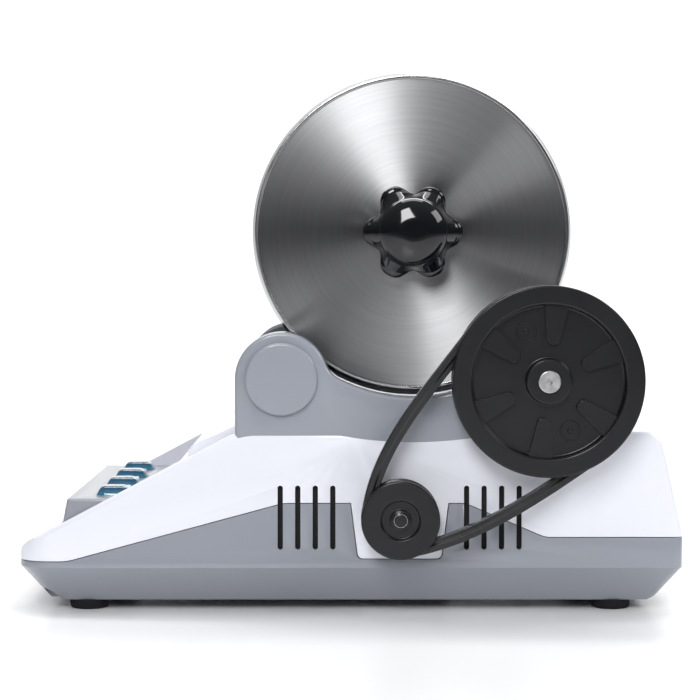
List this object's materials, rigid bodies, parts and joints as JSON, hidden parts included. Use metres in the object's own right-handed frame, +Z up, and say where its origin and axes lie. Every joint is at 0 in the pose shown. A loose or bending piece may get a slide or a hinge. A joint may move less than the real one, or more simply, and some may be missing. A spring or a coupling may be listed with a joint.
{
  "type": "bench rotary tumbler",
  "caption": "Bench rotary tumbler: a lidded stainless drum lies on rubber rollers in a cradle and is turned by an exposed belt; sloping base with a keypad",
  "frame": {"origin": "on the floor, in the middle of the whole machine's box", "axes": "+X from the control panel to the rear, +Y from the belt side to the far side, +Z up"},
  "size_m": [0.301, 0.1956, 0.2453],
  "materials": {
    "white_plastic": "gloss moulded",
    "grey_plastic": "fine texture moulded",
    "panel_plastic": "satin moulded",
    "black_plastic": "satin moulded",
    "knob_plastic": "polished moulded",
    "black_rubber": "matt",
    "blue_plastic": "translucent moulded",
    "smoked_plastic": "smoked clear",
    "spun_steel": "spun stainless",
    "drawn_steel": "brushed stainless",
    "shaft_steel": "ground",
    "plated_steel": "zinc plated",
    "bearing_steel": "polished",
    "brass": "turned",
    "motor_paint": "satin paint",
    "cast_aluminium": "die cast",
    "laminations": "stacked sheet",
    "circuit_board": "solder mask",
    "components": "moulded cases"
  },
  "bodies": {
    "base": {"base_tray": "grey_plastic", "upper_housing": "white_plastic", "roller_cradle": "grey_plastic", "rubber_feet": "black_rubber", "foot_screws": "plated_steel", "case_screws": "plated_steel", "cradle_screws": "plated_steel", "panel_screws": "plated_steel", "control_panel": "panel_plastic", "control_board": "circuit_board", "board_screws": "plated_steel", "key_switches": "components", "display_window": "smoked_plastic", "display_module": "components", "bearing_outer_races": "bearing_steel", "bearing_balls": "bearing_steel", "bearing_caps": "grey_plastic", "drive_retainer": "grey_plastic", "drive_belt": "black_rubber", "motor_can": "motor_paint", "motor_front_bell": "cast_aluminium", "motor_rear_bell": "cast_aluminium", "motor_bushes": "brass", "motor_stator": "laminations", "motor_bracket": "plated_steel", "bracket_screws": "plated_steel", "motor_screws": "plated_steel", "power_board": "circuit_board", "power_parts": "components", "power_inlet": "black_plastic", "inlet_pins": "brass"},
    "drum_carrier": {"lid_gasket": "black_rubber"},
    "drum": {"drum_shell": "drawn_steel", "drum_lid": "spun_steel", "clamp_lugs": "drawn_steel", "clamp_bar": "drawn_steel", "clamp_stud": "shaft_steel", "knob_washer": "plated_steel"},
    "knob": {"star_knob": "knob_plastic", "knob_insert": "brass"},
    "idler_roller": {"idler_shaft": "shaft_steel", "idler_roller_core": "black_plastic", "idler_roller_sleeve": "black_rubber", "idler_shaft_clips": "plated_steel", "idler_inner_races": "bearing_steel"},
    "drive_roller": {"drive_shaft": "shaft_steel", "drive_roller_core": "black_plastic", "drive_roller_sleeve": "black_rubber", "drive_shaft_clips": "plated_steel", "drive_inner_races": "bearing_steel", "driven_pulley": "black_plastic", "driven_pulley_set_screw": "plated_steel"},
    "motor_armature": {"motor_shaft": "shaft_steel", "motor_rotor": "laminations", "motor_fan": "black_plastic", "motor_pulley": "black_plastic"},
    "key_1": {"button_1": "blue_plastic"},
    "key_2": {"button_2": "blue_plastic"},
    "key_3": {"button_3": "blue_plastic"},
    "key_4": {"button_4": "blue_plastic"}
  },
  "joints": [
    {"name": "drum_lift", "type": "slide", "parent": "base", "child": "drum_carrier", "axis": [0, 0, 1], "range_m": [0, 0.15]},
    {"name": "drum_spin", "type": "hinge", "parent": "drum_carrier", "child": "drum", "pos_m": [0.0284, 0.01025, 0.1721], "axis": [0, 1, 0], "continuous": true},
    {"name": "knob_turn", "type": "hinge", "parent": "drum", "child": "knob", "pos_m": [0.0284, -0.07475, 0.1721], "axis": [0, -1, 0], "range_deg": [0, 1080]},
    {"name": "idler_spin", "type": "hinge", "parent": "base", "child": "idler_roller", "pos_m": [-0.0309, 0.01025, 0.106], "axis": [0, 1, 0], "continuous": true},
    {"name": "drive_spin", "type": "hinge", "parent": "base", "child": "drive_roller", "pos_m": [0.0877, 0.01025, 0.106], "axis": [0, 1, 0], "continuous": true},
    {"name": "motor_spin", "type": "hinge", "parent": "base", "child": "motor_armature", "pos_m": [0.0224, 0.01025, 0.0445], "axis": [0, 1, 0], "continuous": true},
    {"name": "key_1_press", "type": "slide", "parent": "base", "child": "key_1", "axis": [0, 0, -1], "range_m": [0, 0.0015], "stiffness_N_per_m": 800},
    {"name": "key_2_press", "type": "slide", "parent": "base", "child": "key_2", "axis": [0, 0, -1], "range_m": [0, 0.0015], "stiffness_N_per_m": 800},
    {"name": "key_3_press", "type": "slide", "parent": "base", "child": "key_3", "axis": [0, 0, -1], "range_m": [0, 0.0015], "stiffness_N_per_m": 800},
    {"name": "key_4_press", "type": "slide", "parent": "base", "child": "key_4", "axis": [0, 0, -1], "range_m": [0, 0.0015], "stiffness_N_per_m": 800}
  ],
  "couplings": [
    {"joint": "idler_spin", "follows": "drum_spin", "ratio": -3.425},
    {"joint": "drive_spin", "follows": "drum_spin", "ratio": -3.425},
    {"joint": "motor_spin", "follows": "drum_spin", "ratio": -9.3302}
  ]
}
